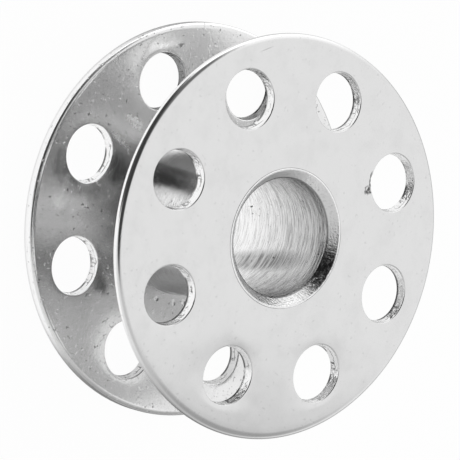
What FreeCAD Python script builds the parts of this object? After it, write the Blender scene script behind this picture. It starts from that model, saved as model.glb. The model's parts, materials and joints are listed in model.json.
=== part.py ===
"""Sewing machine bobbin: a turned core tube with a dished, punched flange flared on at each end.

Frame: the bobbin stands on its lower flange, +Z along the bore, origin at the centre of the
underside. A hole of the upper flange lies on +X. Lengths are in millimetres, angles in degrees.
"""
import FreeCAD, Part
import math
import os
import Sketcher

# Alias, value and meaning of every driving dimension
SIZES = [
    ("flange_diameter", "21.0", "outside diameter of both flanges"),
    ("overall_width", "8.9", "from the outer face of one flange seat to the other"),
    ("sheet_thickness", "0.6", "thickness of the flange sheet"),
    ("dish_depth", "0.38", "how far each rim lies inward of its flat seat"),
    ("seat_margin", "0.34", "flat ring of the flange outside the core's collar"),
    ("rim_bevel", "0.2", "broken edge on both sides of the rim"),
    ("hole_count", "8", "holes in each flange"),
    ("hole_diameter", "2.92", "punched holes"),
    ("hole_margin", "1.33", "web between a hole and the rim"),
    ("hole_bevel", "0.1", "broken edge of the holes on the outer face"),
    ("flange_turn", "-3.8", "how far the lower hole ring is turned from the upper one"),
    ("bore_diameter", "6.2", "running bore through the core"),
    ("barrel_wall", "0.9", "wall of the core between the flanges"),
    ("root_flare", "0.06", "slope by which the barrel widens to its collar"),
    ("collar_land", "0.12", "straight edge of the collar below the flange"),
    ("spigot_wall", "0.25", "wall of the core inside the flange"),
    ("mouth_flare", "0.45", "radial width of the bore's conical mouth"),
    ("mouth_depth", "0.46", "axial depth of the bore's conical mouth"),
    ("lip_width", "0.12", "flat end of the flared lip around the mouth"),
]

# Radii and heights that follow from the driving dimensions
LAYOUT = [
    ("flange_radius", "Sizes.flange_diameter / 2"),
    ("bore_radius", "Sizes.bore_diameter / 2"),
    ("spigot_radius", "Sizes.bore_diameter / 2 + Sizes.spigot_wall"),
    ("barrel_radius", "Sizes.bore_diameter / 2 + Sizes.barrel_wall"),
    ("collar_radius", "Sizes.bore_diameter / 2 + Sizes.barrel_wall + Sizes.root_flare"),
    ("seat_radius", "collar_radius + Sizes.seat_margin"),
    ("mouth_radius", "Sizes.bore_diameter / 2 + Sizes.mouth_flare"),
    ("lip_radius", "mouth_radius + Sizes.lip_width"),
    ("lip_depth", "lip_radius - spigot_radius"),
    ("sheet", "Sizes.sheet_thickness"),
    ("sink_floor", "Sizes.sheet_thickness - lip_depth"),
    ("dome_span", "flange_radius ^ 2 - seat_radius ^ 2 + Sizes.dish_depth ^ 2"),
    ("dome_drop", "dome_span / (2 * Sizes.dish_depth)"),
    ("dome_inner", "sqrt(dome_drop ^ 2 + seat_radius ^ 2)"),
    ("dome_outer", "dome_inner + Sizes.sheet_thickness"),
    ("seat_radius_outer", "sqrt(dome_outer ^ 2 - (dome_drop + Sizes.sheet_thickness) ^ 2)"),
    ("rim_break", "min(Sizes.rim_bevel; 0.4 * Sizes.sheet_thickness)"),
    ("rim_inset", "flange_radius - rim_break"),
    ("rim_head", "sqrt(dome_outer ^ 2 - rim_inset ^ 2) - dome_drop"),
    ("rim_head_edge", "rim_head - rim_break"),
    ("rim_foot", "sqrt(dome_inner ^ 2 - rim_inset ^ 2) - dome_drop"),
    ("rim_foot_edge", "rim_foot + rim_break"),
    ("hole_radius", "Sizes.hole_diameter / 2"),
    ("hole_circle", "flange_radius - Sizes.hole_margin - hole_radius"),
    ("hole_break", "min(Sizes.hole_bevel; 0.4 * Sizes.sheet_thickness)"),
    ("hole_mouth_radius", "hole_radius + hole_break"),
    ("hole_mouth_height", "sqrt(dome_outer ^ 2 - hole_mouth_radius ^ 2)"),
    ("hole_mouth_floor", "hole_mouth_height - hole_break"),
    ("punch_floor", "dome_inner - Sizes.sheet_thickness"),
    ("punch_head", "dome_outer + Sizes.sheet_thickness"),
    ("core_end", "Sizes.overall_width / 2"),
    ("mouth_floor", "core_end - Sizes.mouth_depth"),
    ("lip_floor", "core_end - lip_depth"),
    ("shoulder", "core_end - Sizes.sheet_thickness"),
    ("land_floor", "shoulder - Sizes.collar_land"),
    ("barrel_end", "land_floor - Sizes.root_flare"),
    ("lower_shoulder", "Sizes.sheet_thickness"),
    ("upper_shoulder", "Sizes.overall_width - Sizes.sheet_thickness"),
]

doc = FreeCAD.newDocument("bobbin")

sizes = doc.addObject("Spreadsheet::Sheet", "Sizes")
for row, (alias, value, meaning) in enumerate(SIZES, 1):
    sizes.set(f"A{row}", meaning)
    sizes.set(f"B{row}", value)
    sizes.setAlias(f"B{row}", alias)
doc.recompute()

layout = doc.addObject("Spreadsheet::Sheet", "Layout")
for row, (alias, formula) in enumerate(LAYOUT, 1):
    layout.set(f"A{row}", alias)
    layout.set(f"B{row}", f"={formula}")
    layout.setAlias(f"B{row}", alias)
    doc.recompute()


def origin_feature(body, role):
    """Return the body's own origin plane or axis with this role."""
    return next(item for item in body.Origin.OriginFeatures if item.Role == role)


def new_sketch(body, name, role):
    """Add a sketch on one of the body's origin planes."""
    sketch = body.newObject("Sketcher::SketchObject", name)
    sketch.AttachmentSupport = (origin_feature(body, role), [""])
    sketch.MapMode = "FlatFace"
    return sketch


def number(term):
    """Value of a layout name with an optional minus sign; 0 stands for itself."""
    if term == "0":
        return 0.0
    sign = -1.0 if term.startswith("-") else 1.0
    return sign * float(layout.get(term.lstrip("-")))


def bind(sketch, kind, places, term):
    """Add a dimension to the sketch and tie it to the layout; 0 puts the point on the axis."""
    if term == "0":
        axis = -2 if kind == "DistanceX" else -1
        sketch.addConstraint(Sketcher.Constraint("PointOnObject", *places[2:], axis))
        return
    index = sketch.addConstraint(Sketcher.Constraint(kind, *places, number(term)))
    formula = f"-Layout.{term[1:]}" if term.startswith("-") else f"Layout.{term}"
    sketch.setExpression(f"Constraints[{index}]", formula)


def draw_outline(sketch, corners, arcs=None):
    """Draw a closed half section from corners (radius, height) in order.

    Every corner is dimensioned from the axis and from the sketch's horizontal. arcs gives, for
    the segment that starts at a corner, its radius and the side that its centre lies on.
    """
    arcs = arcs or {}
    points = [FreeCAD.Vector(number(r), number(z), 0) for r, z in corners]
    count = len(points)
    starts = []
    ends = []
    for i, start in enumerate(points):
        end = points[(i + 1) % count]
        clockwise = i in arcs and arcs[i][1] == "right"
        starts.append(2 if clockwise else 1)
        ends.append(1 if clockwise else 2)
        if i not in arcs:
            sketch.addGeometry(Part.LineSegment(start, end))
            continue
        first, last = (end, start) if clockwise else (start, end)
        chord = last - first
        radius = number(arcs[i][0])
        reach = (radius ** 2 - (chord.Length / 2) ** 2) ** 0.5
        left = FreeCAD.Vector(-chord.y, chord.x, 0) / chord.Length
        centre = (first + last) * 0.5 + left * reach
        circle = Part.Circle(centre, FreeCAD.Vector(0, 0, 1), radius)
        angles = [math.atan2(p.y - centre.y, p.x - centre.x) for p in (first, last)]
        if angles[1] < angles[0]:
            angles[1] += 2 * math.pi
        sketch.addGeometry(Part.ArcOfCircle(circle, *angles))
    for i in range(count):
        follower = (i + 1) % count
        sketch.addConstraint(
            Sketcher.Constraint("Coincident", i, ends[i], follower, starts[follower]))
    for i, (r, z) in enumerate(corners):
        bind(sketch, "DistanceX", (-1, 1, i, starts[i]), r)
        bind(sketch, "DistanceY", (-1, 1, i, starts[i]), z)
    for i, (radius, _) in arcs.items():
        bind(sketch, "Radius", (i,), radius)


def revolve(body, sketch, name):
    """Turn the half section once round the body's Z axis."""
    feature = body.newObject("PartDesign::Revolution", name)
    feature.Profile = sketch
    feature.ReferenceAxis = (origin_feature(body, "Z_Axis"), [""])
    feature.Angle = 360
    doc.recompute()
    return feature


def make_flange(label, placement):
    """Dished disc in its own frame: the seat's inner face lies at z = 0, the outer face above."""
    body = doc.addObject("PartDesign::Body", label)
    body.Label = label

    section = new_sketch(body, f"{label}_section", "XZ_Plane")
    corners = [
        ("spigot_radius", "0"),
        ("seat_radius", "0"),
        ("rim_inset", "rim_foot"),
        ("flange_radius", "rim_foot_edge"),
        ("flange_radius", "rim_head_edge"),
        ("rim_inset", "rim_head"),
        ("seat_radius_outer", "sheet"),
        ("lip_radius", "sheet"),
        ("spigot_radius", "sink_floor"),
    ]
    draw_outline(section, corners, {1: ("dome_inner", "right"), 5: ("dome_outer", "left")})
    disc = revolve(body, section, f"{label}_disc")

    # The punch stands square to the sheet, so its axis points at the centre of the dome
    outline = new_sketch(body, f"{label}_punch_outline", "XZ_Plane")
    outline.setExpression("AttachmentOffset.Base.y", "-Layout.dome_drop")
    outline.setExpression(
        "AttachmentOffset.Rotation.Angle", "-asin(Layout.hole_circle / Layout.dome_outer)")
    corners = [
        ("0", "punch_floor"),
        ("hole_radius", "punch_floor"),
        ("hole_radius", "hole_mouth_floor"),
        ("hole_mouth_radius", "hole_mouth_height"),
        ("hole_mouth_radius", "punch_head"),
        ("0", "punch_head"),
    ]
    draw_outline(outline, corners)
    punch = body.newObject("PartDesign::Groove", f"{label}_punch")
    punch.Profile = outline
    punch.ReferenceAxis = (outline, ["V_Axis"])
    punch.Angle = 360
    doc.recompute()
    if punch.Shape.Volume >= disc.Shape.Volume:
        raise RuntimeError(f"{label}: the hole cuts nothing")

    ring = body.newObject("PartDesign::PolarPattern", f"{label}_holes")
    ring.Originals = [punch]
    ring.Axis = (origin_feature(body, "Z_Axis"), [""])
    ring.Angle = 360
    ring.setExpression("Occurrences", "Sizes.hole_count")
    body.Tip = ring
    doc.recompute()
    body.setExpression("Placement", placement)
    return body


def make_core(label):
    """Turned core in its own frame: z = 0 half way between the flanges."""
    body = doc.addObject("PartDesign::Body", label)
    body.Label = label
    upper = [
        ("bore_radius", "mouth_floor"),
        ("mouth_radius", "core_end"),
        ("lip_radius", "core_end"),
        ("spigot_radius", "lip_floor"),
        ("spigot_radius", "shoulder"),
        ("collar_radius", "shoulder"),
        ("collar_radius", "land_floor"),
        ("barrel_radius", "barrel_end"),
    ]
    lower = [(r, f"-{z}") for r, z in reversed(upper)]
    section = new_sketch(body, f"{label}_section", "XZ_Plane")
    draw_outline(section, upper + lower)
    revolve(body, section, f"{label}_turned")
    body.setExpression("Placement.Base.z", "Layout.core_end")
    return body


make_core("core_tube")
make_flange("upper_flange", "placement(vector(0; 0; Layout.upper_shoulder); rotation(0; 0; 0))")
make_flange("lower_flange",
            "placement(vector(0; 0; Layout.lower_shoulder); rotation(Sizes.flange_turn; 0; 180))")
doc.recompute()

for item in doc.Objects:
    if "Invalid" in item.State or "Error" in item.State:
        raise RuntimeError(f"{item.Label} failed: {item.State}")

pieces = [item for item in doc.Objects if item.TypeId == "PartDesign::Body"]
for piece in pieces:
    if piece.Shape.isNull() or not piece.Shape.isValid() or len(piece.Shape.Solids) != 1:
        raise RuntimeError(f"{piece.Label} has no valid single solid")

os.makedirs("parts", exist_ok=True)
for piece in pieces:
    piece.Shape.exportStep(f"parts/{piece.Label}.step")
    box = piece.Shape.BoundBox
    print(f"{piece.Label}: {piece.Shape.Volume:.2f} mm3, z {box.ZMin:.3f} to {box.ZMax:.3f}")
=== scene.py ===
"""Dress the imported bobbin: punched, plated flanges, a turned core and a plain white studio."""
import json
import math

import bmesh
import bpy
from bpy.props import FloatProperty, FloatVectorProperty, IntProperty, PointerProperty
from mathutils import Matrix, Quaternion, Vector


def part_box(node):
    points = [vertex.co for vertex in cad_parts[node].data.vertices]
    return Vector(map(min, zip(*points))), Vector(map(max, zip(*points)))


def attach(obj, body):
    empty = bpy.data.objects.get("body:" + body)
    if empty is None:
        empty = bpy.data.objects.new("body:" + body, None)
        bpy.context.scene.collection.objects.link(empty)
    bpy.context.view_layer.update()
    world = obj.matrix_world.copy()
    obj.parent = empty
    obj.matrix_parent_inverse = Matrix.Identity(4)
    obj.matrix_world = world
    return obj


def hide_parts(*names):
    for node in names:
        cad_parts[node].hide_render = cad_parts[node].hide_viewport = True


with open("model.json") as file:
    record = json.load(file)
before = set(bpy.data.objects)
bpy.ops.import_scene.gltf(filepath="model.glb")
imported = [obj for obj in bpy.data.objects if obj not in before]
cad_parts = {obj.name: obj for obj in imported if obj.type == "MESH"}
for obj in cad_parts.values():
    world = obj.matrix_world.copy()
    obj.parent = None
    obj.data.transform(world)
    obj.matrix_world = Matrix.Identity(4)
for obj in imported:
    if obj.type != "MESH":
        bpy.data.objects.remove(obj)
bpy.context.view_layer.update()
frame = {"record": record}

bl_info = {
    "name": "Sewing machine bobbin",
    "version": (1, 0, 0),
    "blender": (4, 5, 0),
    "location": "View3D > Sidebar > Bobbin",
    "description": "Builds the plated bobbin on its packed frame and sets the studio",
    "category": "Object",
}

MM = 0.001
UPPER_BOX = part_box("upper_flange")
CORE_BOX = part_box("core_tube")
BORE = next(m for m in frame["record"]["mounts"] if m["name"] == "bore")

# A mark is its middle in millimetres, its turn about Z, its half sizes in millimetres and,
# where it leans, its tilt; a gouge has its depth as well
# Upper flange: the nick beside a hole and a scratch near the rim
NICK_EDGE = ((-4.957, 3.930, 8.82), 0.314, (0.52, 0.10, 0.4))
NICK_BODY = ((-4.395, 3.970, 8.83), 0.62, (0.32, 0.38, 0.4))
GOUGES = ((*NICK_EDGE, 0.10 * MM), (*NICK_BODY, 0.07 * MM))
SCRATCH = ((-8.20, -5.57, 8.57), 2.31, (0.62, 0.035, 0.4))
# Lower flange, inner face: scuffs, patches of painted reflection, dark and light, a smudge and dents round
# the barrel's root
SCUFFS = (
    ((-3.12, -5.75, 0.70), 1.452, (0.95, 0.28, 0.4)),
    ((-1.92, -6.14, 0.69), 1.395, (1.05, 0.13, 0.4)),
)
# Painted dark reflections
DARK_CLOUDS = (
    ((-0.55, -5.60, 0.70), 0.25, (1.25, 1.0, 0.8)),
    ((0.85, -8.75, 0.85), 1.2, (1.5, 1.1, 0.8)),
    ((5.15, -4.0, 0.70), 0.95, (1.3, 0.6, 0.8)),
)
# Painted light reflections
LIGHT_CLOUDS = (
    ((1.95, -7.70, 0.80), 1.815, (2.6, 1.1, 0.8)),
    ((-7.4, -5.9, 0.90), 2.2, (1.3, 0.45, 0.8)),
)
SMUDGE = ((-7.90, -5.03, 0.89), 2.27, (0.38, 0.16, 0.4))
DENTS = (
    ((4.555, 0.08, 0.60), 0.0, (0.17, 0.15, 0.3)),
    ((4.31, 1.24, 0.60), 0.4, (0.19, 0.13, 0.3)),
    ((4.03, 1.84, 0.60), 0.8, (0.14, 0.17, 0.3)),
)
# Core: a painted dark reflection along the bore and a grainy sector of painted shade on the mouth
BORE_STREAK = ((0.76, 3.01, 3.6), 0.24, (0.85, 1.2, 4.8), -0.16)
MOUTH_SHADE = ((0.582, 3.299, 8.67), 2.967, (1.85, 0.9, 0.8))

# Sides, as azimuths in degrees, with the stretch in millimetres over which each comes in
# The rim takes a painted highlight towards its first side and painted shade away from it, and a painted
# shade line along its edge away from its second side
RIM_BRIGHT_SIDE = (-21.0, -3.0, 3.0)
RIM_DIRTY_SIDE = (14.0, 8.0, 2.0)
MOUTH_DULL_SIDE = (0.0, -0.9, 0.9)
# The barrel's streaks of painted dark reflection have their strength as well
BARREL_STREAKS = ((76.0, 3.55, 3.9, 0.0, 1.0), (-22.0, 3.65, 3.95, 0.0, 0.75))

# Rounding of the thin lip and of the edge of the flange round it
LIP_EDGE = 0.015 * MM


def length(label, words, value):
    """A length property in metres."""
    return FloatProperty(name=label, description=words, default=value, unit="LENGTH", precision=6)


def angle(label, words, degrees):
    """An angle property, given in degrees."""
    return FloatProperty(
        name=label, description=words, default=math.radians(degrees), subtype="ANGLE")


def share(label, words, value):
    """A plain number between zero and one."""
    return FloatProperty(
        name=label, description=words, default=value, min=0.0, max=1.0, subtype="FACTOR")


def tint(label, words, grey):
    """A linear colour that starts as a plain grey."""
    return FloatVectorProperty(
        name=label, description=words, default=(grey, grey, grey), min=0.0, max=1.0, subtype="COLOR")


class BobbinFlangeSizes(bpy.types.PropertyGroup):
    """Sizes of the two like flanges."""

    radius: length("Radius", "Outside radius of the flange", (UPPER_BOX[1][0] - UPPER_BOX[0][0]) / 2)
    sheet: length("Sheet", "Thickness of the sheet", 0.6 * MM)
    dish: length("Dish", "How far the rim lies inward of the flat seat", 0.38 * MM)
    seat: length("Seat", "Radius of the flat seat round the mouth", 4.4 * MM)
    rim_swell: length("Rim swell", "How much further the upper rim reaches", 0.07 * MM)
    rim_roll: length("Rim roll", "Width of the upper rim's outer rounding", 0.47 * MM)
    rim_back: length("Rim back", "Width of the upper rim's inner rounding", 0.52 * MM)
    low_roll: length("Low rim roll", "Width of the lower rim's inner rounding", 0.26 * MM)
    low_break: length("Low rim break", "Width of the lower rim's outer rounding", 0.13 * MM)
    rim_squash: FloatProperty(
        name="Rim squash", description="Width of a rim's roundings over their height",
        default=1.75, min=1.0)
    hole_count: IntProperty(name="Holes", description="Holes in the ring", default=8, min=3)
    hole_radius: length("Hole radius", "Radius of a punched hole", 1.46 * MM)
    hole_circle: length("Hole circle", "Radius of the ring of holes", 7.71 * MM)
    hole_draw: length("Hole draw", "Drawn-in edge of a hole on the side it is punched from", 0.07 * MM)
    hole_taper: length("Hole taper", "How much wider a hole is where it is punched from", 0.08 * MM)
    hole_break: length("Hole break", "Broken edge of a hole on the far side", 0.025 * MM)
    hole_dip: length("Hole dip", "How far the face dips towards a hole where it is drawn in", 0.02 * MM)
    lower_turn: angle("Lower turn", "Turn of the lower ring of holes from the upper one", -3.8)


class BobbinCoreSizes(bpy.types.PropertyGroup):
    """Sizes of the turned core."""

    width: length("Width", "Overall width of the bobbin", CORE_BOX[1][2] - CORE_BOX[0][2])
    bore: length("Bore", "Radius of the bore", BORE["dims"]["r_mm"] * MM)
    spigot: length("Spigot", "Radius of the thin end inside the flange", 3.35 * MM)
    barrel: length("Barrel", "Radius of the barrel between the flanges", 4.0 * MM)
    collar: length("Collar", "Radius of the collar under the flange", 4.06 * MM)
    mouth: length("Mouth", "Radius of the conical mouth at the face", 3.55 * MM)
    mouth_depth: length("Mouth depth", "Depth of the conical mouth", 0.46 * MM)
    lip: length("Lip", "Outer radius of the flared lip", 3.67 * MM)


class BobbinFinish(bpy.types.PropertyGroup):
    """Colours and gloss of the plated steel."""

    plate: tint("Plate", "Nickel plate on the sheet", 0.64)
    plate_inside: tint("Inner plate", "Nickel plate between the flanges", 0.72)
    # Also the painted highlight on one side of the rim and the painted light reflections
    rim: tint("Rim", "Polished edge of the rim, scuffs and light clouds", 0.95)
    worn: tint("Worn plate", "Duller patches of the plate", 0.46)
    punched: tint("Punched wall", "Sheared wall of a punched hole", 0.94)
    turned: tint("Turned core", "Plated, turned steel of the core's ends", 0.71)
    # Brighter than the mouth's turned steel: painted light on the same steel between the flanges
    barrel: tint("Barrel", "Plated, turned steel between the flanges", 0.9)
    bored: tint("Bore", "Bored steel inside the core", 0.98)
    # Also the painted shade on the rim's far side and the barrel's painted dark reflections
    dull: tint("Dull steel", "Dull parts of the bore, the barrel and the rims", 0.36)
    # Painted dark reflection along the bore
    bored_dark: tint("Bore streak", "Dark streak along the bore", 0.12)
    # Also the painted dark reflections, the rim's painted shade line and the mouth's painted shade
    pit: tint("Pits", "Bottom of pits and specks", 0.08)
    plate_roughness: share("Plate roughness", "Roughness of the plate", 0.11)
    core_roughness: share("Core roughness", "Roughness of the turned core", 0.12)
    wall_roughness: share("Wall roughness", "Roughness of a punched wall", 0.14)
    bore_roughness: share("Bore roughness", "Roughness of the bored steel", 0.18)


class BobbinStage(bpy.types.PropertyGroup):
    """Camera, floor and light of the studio."""

    azimuth: angle("Azimuth", "Direction of the camera round the bobbin", 14.14)
    elevation: angle("Elevation", "Height of the camera", 50.17)
    roll: angle("Roll", "Turn of the camera about its own line of sight", 101.11)
    distance: length("Distance", "From the camera to the middle of the upper rim", 217.4 * MM)
    rim_height: length("Aim height", "Height of the upper rim's edge", 8.54 * MM)
    lens: FloatProperty(name="Lens", description="Focal length in millimetres", default=329.6)
    # The side where the floor is painted white in mirrors over the shadow under the holes
    front: angle("Front", "Side of the floor that lies open to the light", 14.14)
    floor_white: share("Floor white", "Share of plain white in the floor as it is seen", 0.97)
    floor_behind: share("Floor behind", "That share behind and beside, in mirrors", 0.45)
    floor_shade: share("Shaded floor", "That share on the shaded side, in mirrors", 0.25)
    floor: tint("Floor", "Colour of the floor", 0.9)
    room: FloatProperty(
        name="Room", description="Brightness of the light between the panels", default=1.16, min=0.0)


class Nodes:
    """Short way to lay out a node tree."""

    # Share of a patch's half sizes from which it fades out
    PATCH_FADE = 0.3

    def __init__(self, tree):
        self.tree = tree
        tree.nodes.clear()

    def add(self, kind, inputs=None, **settings):
        """Add a node and set its options; an input gets a link from a socket, or a plain value."""
        item = self.tree.nodes.new(kind)
        for key, value in settings.items():
            setattr(item, key, value)
        for key, term in (inputs or {}).items():
            if isinstance(term, bpy.types.NodeSocket):
                self.tree.links.new(term, item.inputs[key])
            else:
                item.inputs[key].default_value = term
        return item

    def math(self, operation, *terms):
        """A Math node on sockets or plain numbers; returns its output."""
        return self.add("ShaderNodeMath", dict(enumerate(terms)), operation=operation).outputs[0]

    def vector(self, operation, *terms):
        """A Vector Math node on sockets or plain triples; returns its outputs."""
        return self.add("ShaderNodeVectorMath", dict(enumerate(terms)), operation=operation).outputs

    def times(self, first, second):
        """Product of two sockets or numbers."""
        return self.math("MULTIPLY", first, second)

    def rest(self, source):
        """What a factor leaves of one."""
        return self.math("SUBTRACT", 1.0, source)

    def most(self, first, *others):
        """Largest of several factors."""
        for other in others:
            first = self.math("MAXIMUM", first, other)
        return first

    def summed(self, base, *terms):
        """A base with each source times its amount added to it."""
        for source, amount in terms:
            base = self.math("MULTIPLY_ADD", source, amount, base)
        return base

    def ramp(self, source, low, high, start=0.0, end=1.0):
        """Smooth step of a socket from low to high; returns the result."""
        limits = {"From Min": low, "From Max": high, "To Min": start, "To Max": end}
        item = self.add(
            "ShaderNodeMapRange", {"Value": source, **limits}, interpolation_type="SMOOTHSTEP")
        return item.outputs["Result"]

    def noise(self, vector, scale=1.0, detail=2.0, roughness=0.5):
        """Noise of the given scale on a vector; returns its factor."""
        grain = {"Scale": scale, "Detail": detail, "Roughness": roughness}
        return self.add("ShaderNodeTexNoise", {"Vector": vector, **grain}).outputs["Fac"]

    def stretched(self, vector, scale, turn=0.0):
        """A vector turned about Z and then scaled; returns the vector."""
        change = {"Rotation": (0.0, 0.0, turn), "Scale": scale}
        return self.add("ShaderNodeMapping", {"Vector": vector, **change}).outputs["Vector"]

    def blend(self, factor, first, second):
        """Mix of two colours, each a socket or a colour property; returns the colour."""
        inputs = {0: factor}
        for key, term in ((6, first), (7, second)):
            inputs[key] = term if isinstance(term, bpy.types.NodeSocket) else (*term, 1.0)
        return self.add("ShaderNodeMix", inputs, data_type="RGBA").outputs[2]

    def millimetres(self):
        """The piece's own coordinates in millimetres; returns the vector."""
        place = self.add("ShaderNodeTexCoord").outputs["Object"]
        scaled = {0: place, "Scale": 1 / MM}
        return self.add("ShaderNodeVectorMath", scaled, operation="SCALE").outputs["Vector"]

    def attribute(self, name):
        """A number kept on the mesh's points; returns its factor."""
        return self.add("ShaderNodeAttribute", attribute_name=name).outputs["Fac"]

    def patch(self, vector, middle, turn, halves, tilt=0.0):
        """One inside a soft-edged patch with these half sizes in millimetres; returns a factor."""
        change = {"Location": middle, "Rotation": (0.0, tilt, turn), "Scale": halves}
        item = self.add("ShaderNodeMapping", {"Vector": vector, **change}, vector_type="TEXTURE")
        off = self.vector("LENGTH", item.outputs["Vector"])["Value"]
        return self.ramp(off, self.PATCH_FADE, 1.0, start=1.0, end=0.0)

    def patches(self, vector, marks):
        """One inside any of several patches; returns a factor."""
        return self.most(*(self.patch(vector, *mark) for mark in marks))

    def ragged(self, vector, scale, amount):
        """A place shifted this way and that, so that a mark gets an uneven edge; returns a vector."""
        noise = self.add("ShaderNodeTexNoise", {"Vector": vector, "Scale": scale, "Detail": 3.0})
        centred = self.vector("SUBTRACT", noise.outputs["Color"], (0.5, 0.5, 0.5))["Vector"]
        return self.vector("MULTIPLY_ADD", centred, (amount, amount, amount), vector)["Vector"]

    def reach(self, vector, direction):
        """How far a vector goes in a direction; returns the number."""
        return self.vector("DOT_PRODUCT", vector, tuple(direction))["Value"]

    def side(self, vector, azimuth, *limits):
        """Smooth step over a stretch towards an azimuth; returns a factor."""
        return self.ramp(self.reach(vector, toward(azimuth)), *limits)

    def off_axis(self, vector):
        """How far a vector lies from the Z axis; returns the number."""
        flat = self.vector("MULTIPLY", vector, (1.0, 1.0, 0.0))["Vector"]
        return self.vector("LENGTH", flat)["Value"]

    def height(self, vector):
        """How high a vector lies; returns the number."""
        return self.add("ShaderNodeSeparateXYZ", {0: vector}).outputs["Z"]

    def bump(self, height, depth, before=None, strength=1.0):
        """Bump of a height from 0 to 1 that is depth metres deep; returns the normal."""
        inputs = {"Height": height, "Distance": depth, "Strength": strength}
        if before is not None:
            inputs["Normal"] = before
        return self.add("ShaderNodeBump", inputs).outputs["Normal"]

    def metal(self, colour, roughness, normal):
        """Close the tree with a metal surface."""
        shader = self.add("ShaderNodeBsdfPrincipled", {
            "Base Color": colour, "Metallic": 1.0, "Roughness": roughness, "Normal": normal})
        self.add("ShaderNodeOutputMaterial", {"Surface": shader.outputs["BSDF"]})


def toward(azimuth, elevation=0.0):
    """Unit vector to an azimuth, counted from the front, and an elevation, both in degrees."""
    az, el = math.radians(azimuth), math.radians(elevation)
    return Vector((math.sin(az) * math.cos(el), -math.cos(az) * math.cos(el), math.sin(el)))


def new_material(name):
    """A fresh material and its tree."""
    material = bpy.data.materials.new(name)
    material.use_nodes = True
    return material, Nodes(material.node_tree)


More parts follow.
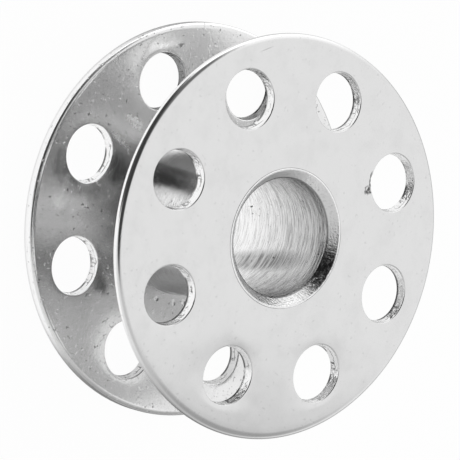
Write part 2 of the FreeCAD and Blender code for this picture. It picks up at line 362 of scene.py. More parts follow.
class PlateSurface:
    """Tumbled nickel plate on sheet: soft mirror, faint clouds, specks, the marks of this one, patches of
    painted reflection and a rim with painted highlight and shade.
    """

    # Hairlines in two directions: turn, fineness across and along them, and how thin they are
    HAIRLINES = ((0.35, 9.0, 0.22, 0.14), (-1.05, 7.0, 0.3, 0.15))
    # How strongly each mark takes on its colour
    # The first is the strength of the painted dark reflections
    CLOUD_TONE, WORN_TONE = 0.75, 0.16
    NICK_EDGE_TONE, SCRATCH_TONE, SMUDGE_TONE = 0.8, 0.28, 0.7
    SPECK_TONE, INNER_SPECK_TONE = 0.10, 0.55
    # Strength of the painted shade line at the rim's edge
    DIRT_TONE = 0.75
    # Depth of the relief
    WAVE_DEPTH, SUNK_DEPTH = 0.014 * MM, 0.05 * MM
    GRIT_DEPTH, PIMPLE_DEPTH, SCRATCH_DEPTH = 0.007 * MM, 0.02 * MM, 0.0012 * MM

    def __init__(self, finish):
        self.finish = finish
        self.material, self.nodes = new_material("nickel_plate")
        self.place = self.nodes.millimetres()
        self.inside = self.nodes.attribute("inner_face")
        self.outside = self.nodes.rest(self.inside)
        self.lay_grain()
        self.lay_marks()
        self.nodes.metal(self.colour(), self.roughness(), self.relief())

    def hairline(self, turn, fine, along, thin):
        """Thin scattered lines in one direction; returns a factor."""
        lane = self.nodes.stretched(self.place, (along, fine, fine), turn)
        return self.nodes.ramp(self.nodes.noise(lane, detail=1.0), 0.5 + thin, 0.5 + 2.2 * thin)

    def lay_grain(self):
        """Clouds, smears, grit, specks, pimples and hairlines of the plate."""
        nodes, place = self.nodes, self.place
        self.clouds = nodes.noise(place, 0.7, detail=5.0, roughness=0.62)
        smeared = nodes.stretched(place, (0.5, 1.6, 1.0), turn=0.7)
        self.smear = nodes.noise(smeared, detail=5.0, roughness=0.62)
        self.grit = nodes.noise(place, 6.0, roughness=0.6)
        self.specks = nodes.ramp(nodes.noise(place, 4.6), 0.66, 0.72)
        turned = nodes.stretched(place, (5.3, 5.3, 5.3), turn=1.1)
        self.pimples = nodes.ramp(nodes.noise(turned, detail=1.0), 0.66, 0.76)
        lines = nodes.most(*(self.hairline(*way) for way in self.HAIRLINES))
        self.hairlines = nodes.times(self.outside, lines)

    def lay_marks(self):
        """Nick, scratch, dents, scuffs, smudge, and patches of painted reflection, dark and light."""
        nodes, place = self.nodes, self.place
        crumbs = nodes.ramp(nodes.noise(place, 4.2, detail=3.0, roughness=0.65), 0.44, 0.56)
        self.nick = nodes.most(
            nodes.times(nodes.patch(place, *NICK_BODY), crumbs),
            nodes.times(nodes.patch(place, *NICK_EDGE), self.NICK_EDGE_TONE))
        self.scratch = nodes.times(nodes.patch(place, *SCRATCH), self.SCRATCH_TONE)
        self.dents = nodes.patches(place, DENTS)
        scuffed = nodes.patches(nodes.ragged(place, 2.5, 0.7), SCUFFS)
        self.scuffs = nodes.times(scuffed, nodes.ramp(self.grit, 0.36, 0.56, start=0.2))
        self.smudge = nodes.times(nodes.patch(place, *SMUDGE), nodes.ramp(self.grit, 0.58, 0.45))
        # Patches of painted reflection, dark and light
        strayed = nodes.ragged(place, 0.8, 1.6)
        uneven = nodes.ramp(self.smear, 0.30, 0.65, start=0.35)
        self.darker = nodes.times(nodes.patches(strayed, DARK_CLOUDS), uneven)
        self.lighter = nodes.times(nodes.patches(strayed, LIGHT_CLOUDS), uneven)

    def colour(self):
        """Colour of the plate: worn in clouds, painted dark and light reflections, a painted highlight on
        one side of the rim and painted shade on the other with a painted shade line at its edge, and dark
        in its marks.
        """
        nodes, place, finish = self.nodes, self.place, self.finish
        colour = nodes.blend(self.inside, finish.plate, finish.plate_inside)
        colour = nodes.blend(nodes.ramp(self.clouds, 0.42, 0.70, end=self.WORN_TONE), colour, finish.worn)
        # Painted dark reflections; the painted light reflections share the rim's colour with the scuffs
        colour = nodes.blend(nodes.times(self.darker, self.CLOUD_TONE), colour, finish.pit)
        colour = nodes.blend(nodes.most(self.scuffs, self.lighter), colour, finish.rim)

        # Painted highlight on one side of the rim's band and painted shade on the other, then a painted
        # shade line along the rim's edge
        edge = nodes.attribute("rim_edge")
        bright = nodes.side(place, *RIM_BRIGHT_SIDE)
        colour = nodes.blend(nodes.times(edge, bright), colour, finish.rim)
        colour = nodes.blend(nodes.times(edge, nodes.rest(bright)), colour, finish.dull)
        dirty = nodes.side(place, *RIM_DIRTY_SIDE, 0.0, self.DIRT_TONE)
        colour = nodes.blend(nodes.times(nodes.attribute("rim_line"), dirty), colour, finish.pit)

        tone = nodes.math("MULTIPLY_ADD", self.inside, self.INNER_SPECK_TONE, self.SPECK_TONE)
        pitted = nodes.most(
            nodes.times(self.specks, tone), self.nick, self.scratch,
            nodes.times(self.smudge, self.SMUDGE_TONE))
        return nodes.blend(pitted, colour, finish.pit)

    def roughness(self):
        """Gloss of the plate: softer between the flanges, in smears, along hairlines and in scuffs."""
        hazy = self.nodes.times(self.nodes.ramp(self.smear, 0.58, 0.74), self.inside)
        return self.nodes.summed(
            self.finish.plate_roughness - 0.03,
            (self.clouds, 0.06), (self.outside, 0.02), (self.inside, 0.09),
            (hazy, 0.10), (self.hairlines, 0.05), (self.scuffs, 0.35))

    def relief(self):
        """Slow waves, sunk marks, grit and pimples between the flanges, and fine scratches."""
        nodes = self.nodes
        waves = nodes.noise(self.place, 0.5, detail=1.0, roughness=0.4)
        normal = nodes.bump(waves, self.WAVE_DEPTH)
        normal = nodes.bump(nodes.rest(nodes.most(self.nick, self.dents)), self.SUNK_DEPTH, normal)
        sandy = nodes.times(self.inside, nodes.ramp(self.smear, 0.40, 0.62, start=0.25))
        normal = nodes.bump(self.grit, self.GRIT_DEPTH, normal, sandy)
        normal = nodes.bump(self.pimples, self.PIMPLE_DEPTH, normal, self.inside)
        fine = nodes.rest(nodes.most(self.specks, self.hairlines))
        return nodes.bump(fine, self.SCRATCH_DEPTH, normal)


def punched_material(finish):
    """Wall of a punched hole: a burnished band, a wandering edge, a torn band and a burr."""
    seam_level, seam_half, seam_tone = 0.40, 0.05, 0.6
    torn_tone, broad_tone, burr_tone = 0.1, 0.8, 0.9
    wander_reach = 0.45
    wander_depth, crumb_depth = 0.12 * MM, 0.06 * MM
    material, nodes = new_material("punched_wall")
    place = nodes.millimetres()
    depth = nodes.attribute("wall_depth")
    wander = nodes.noise(place, 1.5, detail=3.0, roughness=0.6)
    level = nodes.summed(
        nodes.math("SUBTRACT", depth, wander_reach), (wander, 2 * wander_reach))
    torn = nodes.ramp(level, 0.36, 0.46)
    seam = nodes.math("COMPARE", level, seam_level, seam_half)
    broad = nodes.ramp(nodes.noise(place, 1.1), 0.42, 0.60)
    crumbs = nodes.noise(nodes.stretched(place, (5.5, 5.5, 1.6)), detail=3.0, roughness=0.65)
    holes = nodes.times(nodes.ramp(crumbs, 0.52, 0.62), torn)
    burr = nodes.times(
        nodes.ramp(depth, 0.70, 0.84, end=burr_tone), nodes.ramp(nodes.noise(place, 0.9), 0.42, 0.54))
    dark = nodes.most(
        nodes.times(holes, nodes.math("MULTIPLY_ADD", broad, broad_tone, torn_tone)),
        nodes.times(seam, nodes.times(broad, seam_tone)),
        burr)
    colour = nodes.blend(dark, finish.punched, finish.pit)
    rough = nodes.summed(finish.wall_roughness - 0.08, (crumbs, 0.16))
    normal = nodes.bump(wander, wander_depth)
    normal = nodes.bump(crumbs, crumb_depth, normal, torn)
    nodes.metal(colour, rough, normal)
    return material


def core_material(finish):
    """Turned and plated steel of the barrel, brightened as painted light, with faint rings, specks, a fine
    seam round the lip and streaks of painted dark reflection.
    """
    seam_inset, seam_half, seam_tone = 0.005, 0.02, 0.6
    ring_tone = 0.2
    ring_depth, speck_depth = 0.012 * MM, 0.02 * MM
    lip = bpy.context.scene.bobbin_core.lip / MM
    material, nodes = new_material("turned_core")
    place = nodes.millimetres()
    rings = nodes.noise(nodes.stretched(place, (0.6, 0.6, 12.0)), detail=3.0, roughness=0.65)
    specks = nodes.ramp(nodes.noise(place, 4.4, detail=1.0), 0.70, 0.78)
    seam = nodes.math("COMPARE", nodes.off_axis(place), lip - seam_inset, seam_half)
    # Streaks of painted dark reflection along the barrel
    streaks = nodes.most(*(nodes.side(place, *streak) for streak in BARREL_STREAKS))
    colour = nodes.blend(streaks, finish.barrel, finish.dull)
    colour = nodes.blend(nodes.ramp(rings, 0.46, 0.62, end=ring_tone), colour, finish.worn)
    colour = nodes.blend(nodes.times(seam, seam_tone), colour, finish.pit)
    rough = nodes.summed(finish.core_roughness - 0.02, (rings, 0.08))
    normal = nodes.bump(rings, ring_depth)
    normal = nodes.bump(specks, speck_depth, normal)
    nodes.metal(colour, rough, normal)
    return material


def bore_material(finish):
    """Bored steel: close rings left by the tool, a duller upper end and a painted dark reflection along
    it.
    """
    dull_low, dull_high, dull_tone = 1.5, 8.4, 0.62
    line_tone, streak_tone = 0.4, 0.85
    ring_depth, fine_depth = 0.06 * MM, 0.015 * MM
    material, nodes = new_material("bored_core")
    place = nodes.millimetres()
    rings = nodes.noise(nodes.stretched(place, (0.45, 0.45, 6.0)), detail=3.0, roughness=0.65)
    fine = nodes.noise(nodes.stretched(place, (0.8, 0.8, 17.0)), roughness=0.6)
    specks = nodes.ramp(nodes.noise(place, 4.4, detail=1.0), 0.72, 0.80)
    lines = nodes.summed(nodes.times(rings, 0.5), (fine, 0.5))
    dull = nodes.summed(
        nodes.ramp(nodes.height(place), dull_low, dull_high, end=dull_tone),
        (nodes.ramp(lines, 0.46, 0.60), line_tone))
    colour = nodes.blend(nodes.math("MINIMUM", dull, 1.0), finish.bored, finish.dull)
    # Painted dark reflection along the bore
    streak = nodes.times(nodes.patch(place, *BORE_STREAK), nodes.ramp(lines, 0.62, 0.42))
    colour = nodes.blend(nodes.times(streak, streak_tone), colour, finish.bored_dark)
    colour = nodes.blend(specks, colour, finish.pit)
    rough = nodes.summed(finish.bore_roughness - 0.05, (lines, 0.10))
    normal = nodes.bump(rings, ring_depth)
    normal = nodes.bump(fine, fine_depth, normal)
    nodes.metal(colour, rough, normal)
    return material


def mouth_material(finish):
    """Flared mouth of the bore: plated, with a fine grain, a dark throat, a duller side and a grainy
    sector of painted shade.
    """
    throat_start, throat_end, throat_tone = 0.04, 0.09, 0.7
    grain_tone, shade_tone, dull_rough = 0.15, 0.9, 0.3
    grain_depth = 0.032 * MM
    core = bpy.context.scene.bobbin_core
    middle = core.width / 2 / MM
    throat = middle - core.mouth_depth / MM
    material, nodes = new_material("flared_mouth")
    place = nodes.millimetres()
    grain = nodes.noise(place, 8.0, detail=3.0, roughness=0.6)
    off_middle = nodes.math("ABSOLUTE", nodes.math("SUBTRACT", nodes.height(place), middle))
    dark = nodes.ramp(off_middle, throat + throat_start, throat + throat_end, throat_tone, 0.0)
    dull = nodes.side(place, *MOUTH_DULL_SIDE)
    colour = nodes.blend(nodes.ramp(grain, 0.54, 0.66, end=grain_tone), finish.turned, finish.pit)
    colour = nodes.blend(dark, colour, finish.pit)
    grains = nodes.ramp(nodes.noise(place, 5.0, detail=3.0, roughness=0.65), 0.60, 0.46)
    # A grainy sector of painted shade on the mouth
    shade = nodes.times(nodes.patch(place, *MOUTH_SHADE), grains)
    colour = nodes.blend(nodes.times(shade, shade_tone), colour, finish.pit)
    rough = nodes.summed(finish.core_roughness - 0.04, (grain, 0.08), (dull, dull_rough))
    nodes.metal(colour, rough, nodes.bump(grain, grain_depth))
    return material


def material_of(name, make):
    """The material with this name, made on first use."""
    found = bpy.data.materials.get(name)
    return found or make(bpy.context.scene.bobbin_finish)


def rounded(corners, steps):
    """Turn (x, y, radius) corners of an open line into points, with an arc at each radius."""
    points = []
    for i, (x, y, radius) in enumerate(corners):
        here = Vector((x, y))
        if radius == 0.0 or i in (0, len(corners) - 1):
            points.append(here)
            continue
        back = (Vector(corners[i - 1][:2]) - here).normalized()
        ahead = (Vector(corners[i + 1][:2]) - here).normalized()
        half = back.angle(ahead) / 2
        reach = radius / math.tan(half)
        first = here + back * reach
        last = here + ahead * reach
        centre = here + (back + ahead).normalized() * (radius / math.sin(half))
        spoke = first - centre
        turn = spoke.angle_signed(last - centre)
        for step in range(steps + 1):
            part = -turn * step / steps
            points.append(centre + Vector((
                spoke.x * math.cos(part) - spoke.y * math.sin(part),
                spoke.x * math.sin(part) + spoke.y * math.cos(part))))
    return points


def stitch(bm, first, second):
    """Bridge two closed rows of vertices with quads; returns the faces."""
    corners = zip(first, first[1:] + first[:1], second[1:] + second[:1], second)
    return [bm.faces.new(four) for four in corners]


def finish_mesh(bm, name, materials):
    """Weld the mesh, face it outward and make its smooth-shaded object."""
    weld = 1e-7
    bmesh.ops.remove_doubles(bm, verts=bm.verts[:], dist=weld)
    bmesh.ops.recalc_face_normals(bm, faces=bm.faces[:])
    for face in bm.faces:
        face.smooth = True
    mesh = bpy.data.meshes.new(name)
    bm.to_mesh(mesh)
    bm.free()
    for material in materials:
        mesh.materials.append(material)
    piece = bpy.data.objects.new(name, mesh)
    bpy.context.scene.collection.objects.link(piece)
    return piece


def clamped(value):
    """A number held between zero and one."""
    return min(1.0, max(0.0, value))


class FlangeForm:
    """Shape of one flange in its own frame: seat's inner face at z = 0, outer face above it."""

    # Steps along the round and the straight sides of the sheet about one hole
    ARC_STEPS, SIDE_STEPS = 24, 16
    # Rows over the face from those sides to the hole's edge, and down the hole's wall, as shares
    FACE_STEPS = (1.0, 0.8, 0.6, 0.42, 0.27, 0.15, 0.07, 0.02)
    WALL_STEPS = (0.25, 0.5, 0.75)
    # Steps round the edges of a hole, of the rim and of the lip, and across the seat
    EDGE_STEPS, RIM_STEPS, LIP_STEPS, SEAT_STEPS = 7, 10, 3, 7
    # Steps of a hole's drawn-in edge that look like its wall
    SHEARED_STEPS = 2
    # Share of the web outside the holes that belongs to the rim, and the rim's run over its rounding
    RIM_SHARE, RIM_RUN = 0.65, 1.3
    # Height of the bend at the edge of the seat, and how soon the dip round a hole runs out
    SEAT_EASE, DIP_FALL = 0.02 * MM, 1.6
    # Clear ring of the face round the lip
    LIP_RING = 0.04 * MM
    # Band of the rim that takes a painted highlight or painted shade, as shares of its rounding, and the
    # width of its painted shade line
    POLISH_START, POLISH_WIDTH, DIRT_WIDTH = 0.27, 0.18, 0.03 * MM
    # Share of the sheet that counts as inner face, and the share below which no gouge goes
    INNER_SHARE, GOUGE_FLOOR = 0.3, 0.4
    # Jagged floor of a gouge: height, radians a millimetre along X and Y, and their shift
    JAG, JAG_X, JAG_Y, JAG_SHIFT = 0.35, 31, 27, 5
    SURFACE_KEYS = ("inner_face", "wall_depth", "rim_edge", "rim_line")

    def __init__(self, sizes, core, drawn_outside):
        self.sizes = sizes
        self.core = core
        self.drawn_outside = drawn_outside
        if drawn_outside:
            self.radius = sizes.radius + sizes.rim_swell
            self.rim_edges = (sizes.rim_roll, sizes.rim_back)
        else:
            self.radius = sizes.radius
            self.rim_edges = (sizes.low_break, sizes.low_roll)
        self.dome = (sizes.radius ** 2 - sizes.seat ** 2) / (2 * sizes.dish)
        self.web_inner = (sizes.seat + sizes.hole_circle - sizes.hole_radius) / 2
        web = sizes.radius - sizes.hole_circle - sizes.hole_radius
        self.web_outer = sizes.radius - self.RIM_SHARE * web
        self.half = math.pi / sizes.hole_count

    def by_side(self, drawn, plain):
        """The values for the outer and the inner face, from those for the drawn-in and the far side."""
        return (drawn, plain) if self.drawn_outside else (plain, drawn)

    def drop(self, r):
        """How far the sheet lies below its seat at radius r, eased at the edge of the seat."""
        fall = (r * r - self.sizes.seat ** 2) / (2 * self.dome)
        return (fall + math.hypot(fall, self.SEAT_EASE)) / 2

    def outer(self, r):
        """Height of the outer face."""
        return self.sizes.sheet - self.drop(r)

    def inner(self, r):
        """Height of the inner face."""
        return -self.drop(r)

    def share_outline(self):
        """Outline of the sheet round the hole on +X, counter-clockwise."""
        low, high, half = self.web_inner, self.web_outer, self.half
        corners = [(low, -half), (high, -half), (high, half), (low, half), (low, -half)]
        outline = []
        for i, (here, there) in enumerate(zip(corners, corners[1:])):
            count = self.ARC_STEPS if i % 2 else self.SIDE_STEPS
            for step in range(count):
                r, a = (h + (t - h) * step / count for h, t in zip(here, there))
                outline.append(Vector((r * math.cos(a), r * math.sin(a))))
        return outline

    def hole_rows(self):
        """Rows of points from the outer face through the hole to the inner face."""
        sizes = self.sizes
        centre = Vector((sizes.hole_circle, 0.0))
        outline = self.share_outline()
        spokes = [(point - centre).normalized() for point in outline]
        rows = []

        def add_row(weight, reach, height):
            row = []
            for point, spoke in zip(outline, spokes):
                place = (centre + spoke * reach).lerp(point, weight)
                row.append((place.x, place.y, height(place.length)))
            rows.append(row)

        def dipped(weight):
            return max(0.0, 1 - self.DIP_FALL * weight) ** 2

        hole = sizes.hole_radius
        above, below = self.by_side(sizes.hole_draw, sizes.hole_break)
        dip_above, dip_below = self.by_side(sizes.hole_dip, 0.0)
        top, foot = self.by_side(hole + sizes.hole_taper, hole)
        turns = [math.pi / 2 * step / self.EDGE_STEPS for step in range(self.EDGE_STEPS + 1)]

        for weight in (*self.FACE_STEPS, 0.0):
            add_row(weight, top + above, lambda r, w=weight: self.outer(r) - dip_above * dipped(w))
        for turn in turns[1:]:
            down = dip_above + above * (1 - math.cos(turn))
            add_row(0.0, top + above * (1 - math.sin(turn)), lambda r, d=down: self.outer(r) - d)
        for part in self.WALL_STEPS:
            add_row(0.0, (1 - part) * top + part * foot, lambda r, p=part: (
                (1 - p) * (self.outer(r) - dip_above - above) + p * (self.inner(r) + dip_below + below)))
        for turn in turns:
            up = dip_below + below * (1 - math.sin(turn))
            add_row(0.0, foot + below * (1 - math.cos(turn)), lambda r, u=up: self.inner(r) + u)
        for weight in reversed(self.FACE_STEPS):
            add_row(weight, foot + below, lambda r, w=weight: self.inner(r) + dip_below * dipped(w))
        return rows

    def wall_faces(self):
        """Which strips of a hole's rows are sheared wall: not the faces, nor most of the drawn-in edge."""
        first = len(self.FACE_STEPS)
        last = first + 2 * self.EDGE_STEPS + len(self.WALL_STEPS) + 1
        skipped = self.EDGE_STEPS - self.SHEARED_STEPS
        return range(first + skipped, last) if self.drawn_outside else range(first, last - skipped)

    def rim_line(self):
        """Half section of the rim from the outer face round to the inner face."""
        squash = self.sizes.rim_squash
        above, below = self.rim_edges
        near = self.radius - self.RIM_RUN * max(above, below)
        edge = self.radius
        corners = [
            (self.web_outer, self.outer(self.web_outer), 0.0),
            (near, self.outer(near), 0.0),
            (edge, self.outer(edge), above),
            (edge, self.inner(edge), below),
            (near, self.inner(near), 0.0),
            (self.web_outer, self.inner(self.web_outer), 0.0),
        ]
        tall = rounded([(x, y * squash, radius) for x, y, radius in corners], self.RIM_STEPS)
        return [Vector((point.x, point.y / squash)) for point in tall]

    def seat_line(self):
        """Half section of the seat from the outer face through the centre hole to the inner face."""
        sizes, core = self.sizes, self.core
        sink = sizes.sheet - (core.lip - core.spigot)
        step = (core.lip - self.web_inner) / self.SEAT_STEPS
        stops = [self.web_inner + step * i for i in range(self.SEAT_STEPS)]
        line = [(r, self.outer(r), 0.0) for r in stops]
        line.append((core.lip + self.LIP_RING, self.outer(core.lip), 0.0))
        line.append((core.lip, self.outer(core.lip), LIP_EDGE))
        line.append((core.spigot, sink, 0.0))
        line.append((core.spigot, 0.0, 0.0))
        line.extend((r, self.inner(r), 0.0) for r in reversed(stops))
        return rounded(line, self.LIP_STEPS)

    def turned_rows(self, line):
        """Rows of points round the axis for a half section."""
        total = self.ARC_STEPS * self.sizes.hole_count
        turns = [-self.half + 2 * math.pi * i / total for i in range(total)]
        return [[(p.x * math.cos(a), p.x * math.sin(a), p.y) for a in turns] for p in line]

    def sunk(self, point, gouges):
        """How deep the gouges in the outer face are at a point."""
        deepest = 0.0
        if point[2] <= self.GOUGE_FLOOR * self.sizes.sheet:
            return deepest
        for (x, y, _), turn, (along, across, _), depth in gouges:
            dx, dy = point[0] / MM - x, point[1] / MM - y
            u = (dx * math.cos(turn) + dy * math.sin(turn)) / along
            v = (dy * math.cos(turn) - dx * math.sin(turn)) / across
            waves = math.sin(self.JAG_X * dx + self.JAG_SHIFT) * math.sin(self.JAG_Y * dy)
            bowl = max(0.0, 1.0 - u * u - v * v)
            deepest = max(deepest, depth * (1.0 + self.JAG * waves) * bowl)
        return deepest

    def surface(self, point):
        """What the materials need to know of a point, in the order of SURFACE_KEYS."""
        sizes = self.sizes
        r = math.hypot(point[0], point[1])
        depth = (self.outer(r) - point[2]) / sizes.sheet
        # The rim's band for its painted highlight and painted shade, and its painted shade line
        polish_start = self.radius - self.POLISH_START * sizes.rim_roll
        return (
            1.0 if point[2] < self.inner(r) + self.INNER_SHARE * sizes.sheet else 0.0,
            depth if self.drawn_outside else 1.0 - depth,
            clamped((r - polish_start) / (self.POLISH_WIDTH * sizes.rim_roll)),
            clamped(1 - (self.radius - r) / self.DIRT_WIDTH),
        )

    def build(self, name, place, gouges=()):
        """Make the flange's object; place puts a point of this frame into the row's frame."""
        bm = bmesh.new()
        layers = [bm.verts.layers.float.new(key) for key in self.SURFACE_KEYS]

        def add_point(point):
            vert = bm.verts.new(place(Vector(point) - Vector((0, 0, self.sunk(point, gouges)))))
            for layer, value in zip(layers, self.surface(point)):
                vert[layer] = value
            return vert

        def sew(rows, wall=()):
            made = [[add_point(point) for point in row] for row in rows]
            for i, (first, second) in enumerate(zip(made, made[1:])):
                for face in stitch(bm, first, second):
                    face.material_index = 1 if i in wall else 0

        rows = self.hole_rows()
        for k in range(self.sizes.hole_count):
            c, s = math.cos(2 * self.half * k), math.sin(2 * self.half * k)
            turned = [[(x * c - y * s, x * s + y * c, z) for x, y, z in row] for row in rows]
            sew(turned, self.wall_faces())
        sew(self.turned_rows(self.rim_line()))
        sew(self.turned_rows(self.seat_line()))
        materials = [
            material_of("nickel_plate", lambda finish: PlateSurface(finish).material),
            material_of("punched_wall", punched_material),
        ]
        return finish_mesh(bm, name, materials)


class BOBBIN_OT_flanges(bpy.types.Operator):
    """Build both punched and dished flanges"""

    bl_idname = "bobbin.flanges"
    bl_label = "Flanges"

    def execute(self, context):
        sizes = context.scene.bobbin_flange
        core = context.scene.bobbin_core
        upper = FlangeForm(sizes, core, True).build(
            "flange_top", lambda p: p + Vector((0, 0, core.width - sizes.sheet)), GOUGES)
        turn = Quaternion((0, 0, 1), sizes.lower_turn) @ Quaternion((1, 0, 0), math.pi)
        lower = FlangeForm(sizes, core, False).build(
            "flange_bottom", lambda p: turn @ p + Vector((0, 0, sizes.sheet)))
        for piece, node in ((upper, "upper_flange"), (lower, "lower_flange")):
            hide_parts(node)
            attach(piece, "root")
        return {"FINISHED"}


class BOBBIN_OT_core(bpy.types.Operator):
    """Build the turned core with its flared lips"""

    bl_idname = "bobbin.core"
    bl_label = "Core tube"

    # Steps round the axis and round an edge
    ROUND_STEPS, EDGE_STEPS = 192, 4
    # Rows down the mouth as shares of its depth, and one in the bore as a share of half the width
    MOUTH_STEPS, BORE_STEP = (0.03, 0.35, 0.65, 0.86), 0.7
    # Rounding of the edges, straight edge of the collar, and the tool's groove below the mouth
    EDGE, LAND, GROOVE = 0.03 * MM, 0.12 * MM, 0.03 * MM
    # Uneven root of the barrel: height of its waves, and for each its share, count and shift
    ROOT_HEIGHT = 0.012 * MM
    ROOT_WAVES = ((1.0, 7, 1.0), (0.7, 13, 0.0))

    def half_lines(self, core, sheet):
        """Half sections of outside, bore and mouth at one end, with heights from the core's middle."""
        end = core.width / 2
        shoulder = end - sheet
        throat = end - core.mouth_depth
        flare = core.collar - core.barrel
        groove = self.GROOVE
        lip_middle = (core.mouth + core.lip) / 2
        outside = [
            (lip_middle, end, 0.0),
            (core.lip, end, LIP_EDGE),
            (core.spigot, end - (core.lip - core.spigot), 0.0),
            (core.spigot, shoulder, 0.0),
            (core.collar, shoulder, self.EDGE),
            (core.collar, shoulder - self.LAND, 0.0),
            (core.barrel, shoulder - self.LAND - flare, 0.0),
            (core.barrel, 0.0, 0.0),
        ]
        bore = [
            (core.bore, 0.0, 0.0),
            (core.bore, self.BORE_STEP * end, 0.0),
            (core.bore, throat - 6 * groove, 0.0),
            (core.bore + groove, throat - 4.5 * groove, 0.5 * groove),
            (core.bore + groove, throat - 3 * groove, 0.5 * groove),
            (core.bore - 0.2 * groove, throat - 1.2 * groove, 0.5 * groove),
            (core.bore, throat, 0.0),
        ]
        mouth = [
            (core.bore, throat, 0.0),
            *((core.bore + part * (core.mouth - core.bore), throat + part * core.mouth_depth, 0.0)
              for part in self.MOUTH_STEPS),
            (core.mouth, end, self.EDGE),
            (lip_middle, end, 0.0),
        ]
        return [rounded(corners, self.EDGE_STEPS) for corners in (outside, bore, mouth)]

    def add_ring(self, bm, radius, height, uneven):
        """One round of vertices about the axis."""
        row = []
        for i in range(self.ROUND_STEPS):
            a = 2 * math.pi * i / self.ROUND_STEPS
            waves = sum(part * math.sin(count * a + shift) for part, count, shift in self.ROOT_WAVES)
            r = radius + self.ROOT_HEIGHT * waves if uneven else radius
            row.append(bm.verts.new((r * math.cos(a), r * math.sin(a), height)))
        return row

    def execute(self, context):
        core = context.scene.bobbin_core
        sheet = context.scene.bobbin_flange.sheet
        middle = core.width / 2
        shoulder = middle - sheet
        bm = bmesh.new()
        for zone, line in enumerate(self.half_lines(core, sheet)):
            for side in (1, -1):
                rows = []
                for point in line:
                    root = core.barrel < point.x < core.collar and point.y < shoulder
                    rows.append(self.add_ring(bm, point.x, middle + side * point.y, root))
                for first, second in zip(rows, rows[1:]):
                    for face in stitch(bm, first, second):
                        face.material_index = zone
        materials = [
            material_of("turned_core", core_material),
            material_of("bored_core", bore_material),
            material_of("flared_mouth", mouth_material),
        ]
        piece = finish_mesh(bm, "core", materials)
        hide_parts("core_tube")
        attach(piece, "root")
        return {"FINISHED"}


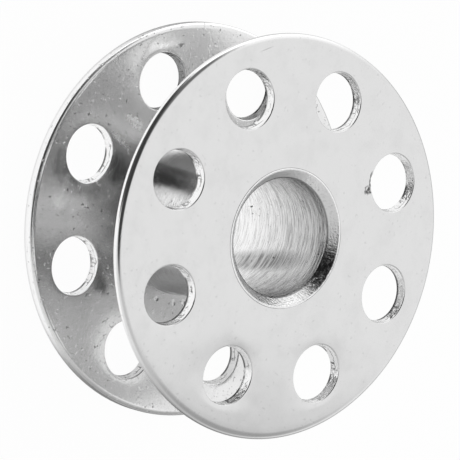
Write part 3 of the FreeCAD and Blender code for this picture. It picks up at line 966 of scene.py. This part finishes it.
class BOBBIN_OT_stage(bpy.types.Operator):
    """Set the floor, the soft light and the camera"""

    bl_idname = "bobbin.stage"
    bl_label = "Studio"

    # Panels and flags of the studio: azimuth and elevation of the middle, inner and outer
    # half angle, all in degrees, and the brightness
    PANELS = (
        (75.0, 30.0, 25.0, 60.0, 0.78),
        (150.0, 38.0, 8.0, 30.0, 0.5),
        (268.0, 14.0, 22.0, 48.0, 1.5),
        (-62.0, 48.0, 14.0, 28.0, 0.2),
        (-20.0, 38.0, 20.0, 32.0, 0.05),
        (-4.0, 16.0, 18.0, 27.0, 0.06),
        (6.0, 62.0, 18.0, 30.0, 0.06),
        (-38.0, 12.0, 14.0, 24.0, 0.06),
    )
    # Soft edges of the floor's zones, in millimetres from the axis
    BORE_EDGE, HOLES_EDGE, RIM_EDGE = (3.4, 3.8), (9.0, 9.6), (10.5, 10.9)
    # Turn of a side from the floor's front in degrees, with its soft edge in millimetres
    # Sides of the floor painted white in mirrors, as painted light over the bobbin's shadow
    FRONT_SIDE, RIGHT_SIDE = (0.0, 4.0, 6.5), (100.0, 4.0, 6.0)
    LIT_SIDE, BACK_SIDE = (-45.0, -8.0, 2.0), (180.0, 6.5, 8.0)
    FLOOR_HALF, FLOOR_CELLS = 1.5, 8
    SENSOR_WIDTH = 36.0
    # Width of the image, and how far right of and below its middle the upper rim's middle lies
    FRAME_WIDTH, RIM_RIGHT, RIM_DOWN = 460, 51.64, 7.65

    def mirrored_white(self, nodes, stage):
        """Share of plain white over the floor in mirrors: painted light that covers the bobbin's shadow
        under the bore and under the holes towards the front and right, with white beyond the rim and
        behind; elsewhere the bobbin's shadow shows.
        """
        place = nodes.millimetres()
        off = nodes.off_axis(place)

        def beside(side, start, end):
            turn, low, high = side
            return nodes.side(place, math.degrees(stage.front) + turn, low, high, start, end)

        under_bore = nodes.ramp(off, *self.BORE_EDGE, stage.floor_white, 0.0)
        under_holes = nodes.times(
            nodes.most(
                beside(self.FRONT_SIDE, 0.0, stage.floor_white),
                beside(self.RIGHT_SIDE, 0.0, stage.floor_behind)),
            nodes.ramp(off, *self.HOLES_EDGE, 1.0, 0.0))
        beyond_rim = nodes.times(
            beside(self.LIT_SIDE, stage.floor_shade, stage.floor_white),
            nodes.ramp(off, *self.RIM_EDGE))
        behind = beside(self.BACK_SIDE, 0.0, stage.floor_behind)
        return nodes.most(under_bore, under_holes, beyond_rim, behind)

    def white_when_seen(self, nodes, stage):
        """Share of plain white for rays from the camera, from a mirror or through glass."""
        path = nodes.add("ShaderNodeLightPath")
        mirrored = nodes.most(path.outputs["Is Glossy Ray"], path.outputs["Is Transmission Ray"])
        direct = nodes.times(path.outputs["Is Camera Ray"], stage.floor_white)
        return nodes.most(direct, nodes.times(mirrored, self.mirrored_white(nodes, stage)))

    def add_floor(self, stage):
        """A wide pale floor that keeps a faint shadow."""
        bm = bmesh.new()
        bmesh.ops.create_grid(
            bm, x_segments=self.FLOOR_CELLS, y_segments=self.FLOOR_CELLS, size=self.FLOOR_HALF)
        floor = finish_mesh(bm, "studio_floor", [])
        material, nodes = new_material("studio_white")
        lit = nodes.add("ShaderNodeBsdfDiffuse", {"Color": (*stage.floor, 1.0)})
        plain = nodes.add("ShaderNodeEmission", {"Color": (1, 1, 1, 1), "Strength": 1.0})
        mixed = nodes.add("ShaderNodeMixShader", {
            0: self.white_when_seen(nodes, stage), 1: lit.outputs[0], 2: plain.outputs[0]})
        nodes.add("ShaderNodeOutputMaterial", {"Surface": mixed.outputs[0]})
        floor.data.materials.append(material)

    def add_light(self, scene, stage):
        """Even white light from all round, with the panels and flags in it."""
        world = bpy.data.worlds.new("studio_light")
        world.use_nodes = True
        scene.world = world
        nodes = Nodes(world.node_tree)
        way = nodes.add("ShaderNodeTexCoord").outputs["Generated"]
        level = stage.room
        for azimuth, elevation, inner, outer, brightness in self.PANELS:
            inside = nodes.ramp(
                nodes.reach(way, toward(azimuth, elevation)),
                math.cos(math.radians(outer)), math.cos(math.radians(inner)))
            change = nodes.math("SUBTRACT", brightness, level)
            level = nodes.math("MULTIPLY_ADD", inside, change, level)
        seen = nodes.add("ShaderNodeLightPath").outputs["Is Camera Ray"]
        level = nodes.math("MULTIPLY_ADD", seen, nodes.rest(level), level)
        back = nodes.add("ShaderNodeBackground", {"Color": (1, 1, 1, 1), "Strength": level})
        nodes.add("ShaderNodeOutputWorld", {"Surface": back.outputs[0]})

    def add_camera(self, scene, stage):
        """A long lens at the photograph's angle, turned so that the bore's upper end points right."""
        back = toward(math.degrees(stage.azimuth), math.degrees(stage.elevation))
        data = bpy.data.cameras.new("photo_camera")
        data.sensor_width = self.SENSOR_WIDTH
        data.lens = stage.lens
        camera = bpy.data.objects.new("photo_camera", data)
        camera.location = Vector((0, 0, stage.rim_height)) + back * stage.distance
        level = (-back).to_track_quat("-Z", "Y")
        roll = Quaternion((0, 0, 1), stage.roll)
        ahead = stage.lens / self.SENSOR_WIDTH * self.FRAME_WIDTH
        rim_middle = Vector((self.RIM_RIGHT, -self.RIM_DOWN, -ahead))
        off = Vector((0, 0, -1)).rotation_difference(rim_middle)
        camera.rotation_mode = "QUATERNION"
        camera.rotation_quaternion = level @ roll @ off.inverted()
        scene.collection.objects.link(camera)
        scene.camera = camera

    def execute(self, context):
        scene = context.scene
        stage = scene.bobbin_stage
        scene.view_settings.view_transform = "Standard"
        self.add_floor(stage)
        self.add_light(scene, stage)
        self.add_camera(scene, stage)
        return {"FINISHED"}


class BOBBIN_PT_panel(bpy.types.Panel):
    """Sidebar panel that lists the bobbin's pieces and sizes"""

    bl_idname = "BOBBIN_PT_panel"
    bl_label = "Bobbin"
    bl_space_type = "VIEW_3D"
    bl_region_type = "UI"
    bl_category = "Bobbin"

    def draw(self, context):
        for group, operator in (
            ("bobbin_flange", BOBBIN_OT_flanges),
            ("bobbin_core", BOBBIN_OT_core),
            ("bobbin_finish", None),
            ("bobbin_stage", BOBBIN_OT_stage),
        ):
            box = self.layout.box()
            settings = getattr(context.scene, group)
            for key in settings.__annotations__:
                box.prop(settings, key)
            if operator:
                box.operator(operator.bl_idname)


GROUPS = {
    "bobbin_flange": BobbinFlangeSizes,
    "bobbin_core": BobbinCoreSizes,
    "bobbin_finish": BobbinFinish,
    "bobbin_stage": BobbinStage,
}
CLASSES = (BOBBIN_OT_flanges, BOBBIN_OT_core, BOBBIN_OT_stage, BOBBIN_PT_panel)


def register():
    """Register the groups, operators and panel."""
    for name, group in GROUPS.items():
        bpy.utils.register_class(group)
        setattr(bpy.types.Scene, name, PointerProperty(type=group))
    for cls in CLASSES:
        bpy.utils.register_class(cls)


def unregister():
    """Take everything out again."""
    for cls in reversed(CLASSES):
        bpy.utils.unregister_class(cls)
    for name, group in GROUPS.items():
        delattr(bpy.types.Scene, name)
        bpy.utils.unregister_class(group)


def main():
    """Build the bobbin and its studio."""
    register()
    bpy.ops.bobbin.flanges()
    bpy.ops.bobbin.core()
    bpy.ops.bobbin.stage()


if __name__ == "__main__":
    main()
